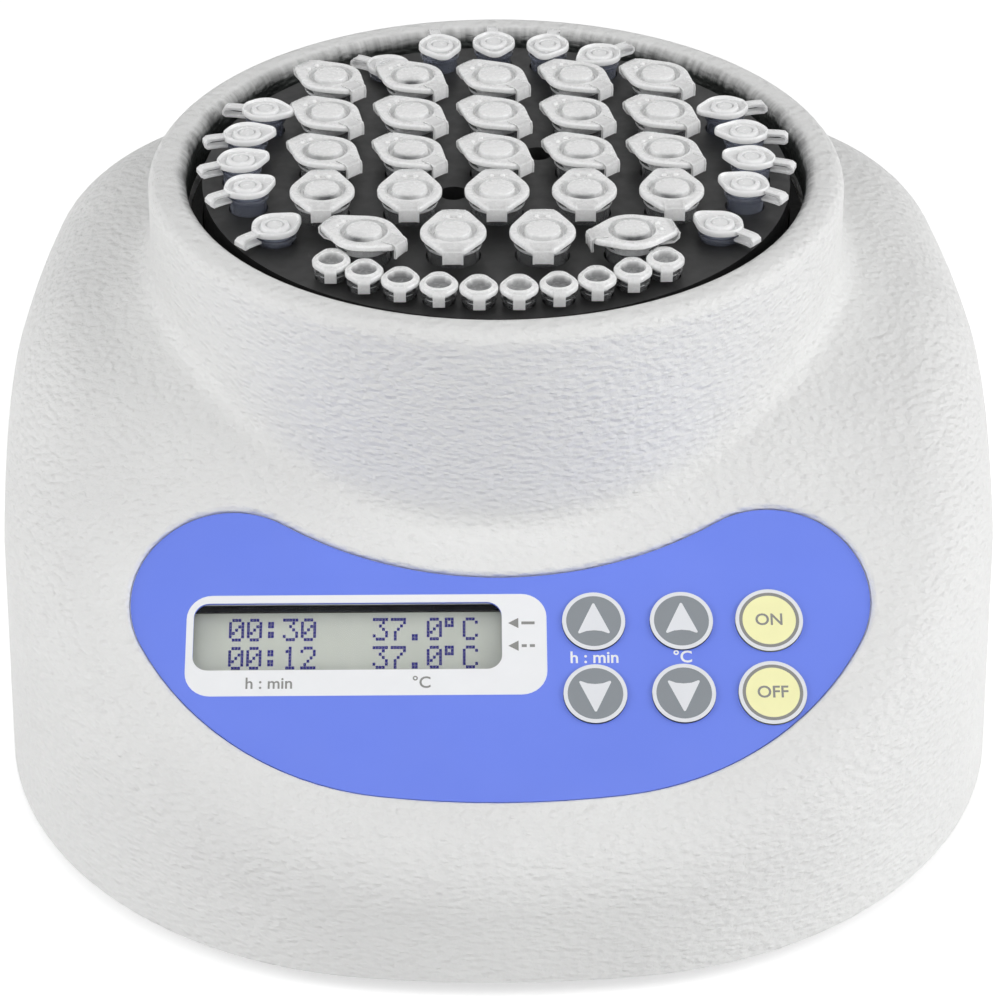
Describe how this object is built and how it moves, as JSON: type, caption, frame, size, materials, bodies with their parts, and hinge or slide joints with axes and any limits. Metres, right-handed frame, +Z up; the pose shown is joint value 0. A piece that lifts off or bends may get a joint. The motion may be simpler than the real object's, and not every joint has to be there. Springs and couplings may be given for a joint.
{
  "type": "dry bath incubator",
  "caption": "Dry bath incubator: a round drilled heating block holding capped sample tubes, in a moulded housing with a sloping control panel.",
  "frame": {"origin": "on the bench, under the middle of the footprint", "axes": "+Z up, +X to the right of someone facing the control panel, the panel faces -Y"},
  "size_m": [0.2092, 0.229, 0.1135],
  "materials": {
    "housing": "textured",
    "base": "textured",
    "feet": "matte",
    "steel": "brushed",
    "frame_steel": "satin",
    "overlay": "satin",
    "window": "clear",
    "black_plastic": "matte",
    "lcd_glass": "clear",
    "backlight": "satin",
    "circuit_board": "satin",
    "spacer_nylon": "matte",
    "block": "black anodised",
    "heater": "matte",
    "plate_aluminium": "satin",
    "insulation": "matte",
    "sleeve": "matte",
    "brass": "satin",
    "key_grey": "satin",
    "key_yellow": "satin",
    "tube_plastic": "translucent",
    "cap_plastic": "translucent",
    "rocker": "satin"
  },
  "bodies": {
    "instrument": {"upper_housing": "housing", "base_plate": "base", "rubber_feet": "feet", "base_screws": "steel", "panel_overlay": "overlay", "display_window": "window", "key_switches": "black_plastic", "lcd_frame": "frame_steel", "lcd_glass": "lcd_glass", "lcd_backlight": "backlight", "lcd_board": "circuit_board", "lcd_spacers": "spacer_nylon", "lcd_header": "black_plastic", "control_board": "circuit_board", "board_screws": "steel", "controller_chip": "black_plastic", "board_components": "black_plastic", "buzzer": "black_plastic", "heating_block": "block", "block_screws": "steel", "heater_mat": "heater", "clamp_plate": "plate_aluminium", "insulation_disc": "insulation", "insulation_sleeve": "sleeve", "block_carrier": "steel", "block_pillars": "steel", "pillar_screws": "steel", "plate_screws": "steel", "thermal_cutout": "black_plastic", "sensor_probe": "steel", "dc_power_jack": "black_plastic", "jack_nut": "brass", "switch_frame": "black_plastic", "switch_blades": "brass"},
    "time_up_push": {"time_up_key": "key_grey", "time_up_switch_button": "black_plastic"},
    "time_down_push": {"time_down_key": "key_grey", "time_down_switch_button": "black_plastic"},
    "temp_up_push": {"temp_up_key": "key_grey", "temp_up_switch_button": "black_plastic"},
    "temp_down_push": {"temp_down_key": "key_grey", "temp_down_switch_button": "black_plastic"},
    "start_push": {"start_key": "key_yellow", "start_switch_button": "black_plastic"},
    "stop_push": {"stop_key": "key_yellow", "stop_switch_button": "black_plastic"},
    "large_tube_set": {"large_tubes": "tube_plastic", "large_tube_caps": "cap_plastic"},
    "medium_tube_set": {"medium_tubes": "tube_plastic", "medium_tube_caps": "cap_plastic"},
    "small_tube_set": {"small_tubes": "tube_plastic", "small_tube_caps": "cap_plastic"},
    "power_rocker_tip": {"power_rocker": "rocker"}
  },
  "joints": [
    {"name": "time_up_press", "type": "slide", "parent": "instrument", "child": "time_up_push", "axis": [0, 0.5, -0.866], "range_m": [0, 0.0005], "stiffness_N_per_m": 1500},
    {"name": "time_down_press", "type": "slide", "parent": "instrument", "child": "time_down_push", "axis": [0, 0.5, -0.866], "range_m": [0, 0.0005], "stiffness_N_per_m": 1500},
    {"name": "temp_up_press", "type": "slide", "parent": "instrument", "child": "temp_up_push", "axis": [0, 0.5, -0.866], "range_m": [0, 0.0005], "stiffness_N_per_m": 1500},
    {"name": "temp_down_press", "type": "slide", "parent": "instrument", "child": "temp_down_push", "axis": [0, 0.5, -0.866], "range_m": [0, 0.0005], "stiffness_N_per_m": 1500},
    {"name": "start_press", "type": "slide", "parent": "instrument", "child": "start_push", "axis": [0, 0.5, -0.866], "range_m": [0, 0.0005], "stiffness_N_per_m": 1500},
    {"name": "stop_press", "type": "slide", "parent": "instrument", "child": "stop_push", "axis": [0, 0.5, -0.866], "range_m": [0, 0.0005], "stiffness_N_per_m": 1500},
    {"name": "large_tube_lift", "type": "slide", "parent": "instrument", "child": "large_tube_set", "axis": [0, 0, 1], "range_m": [0, 0.045]},
    {"name": "medium_tube_lift", "type": "slide", "parent": "instrument", "child": "medium_tube_set", "axis": [0, 0, 1], "range_m": [0, 0.045]},
    {"name": "small_tube_lift", "type": "slide", "parent": "instrument", "child": "small_tube_set", "axis": [0, 0, 1], "range_m": [0, 0.045]},
    {"name": "power_rocker_tilt", "type": "hinge", "parent": "instrument", "child": "power_rocker_tip", "pos_m": [-0.017, 0.1097, 0.027], "axis": [-1, 0, 0], "range_deg": [-20, 0]}
  ]
}
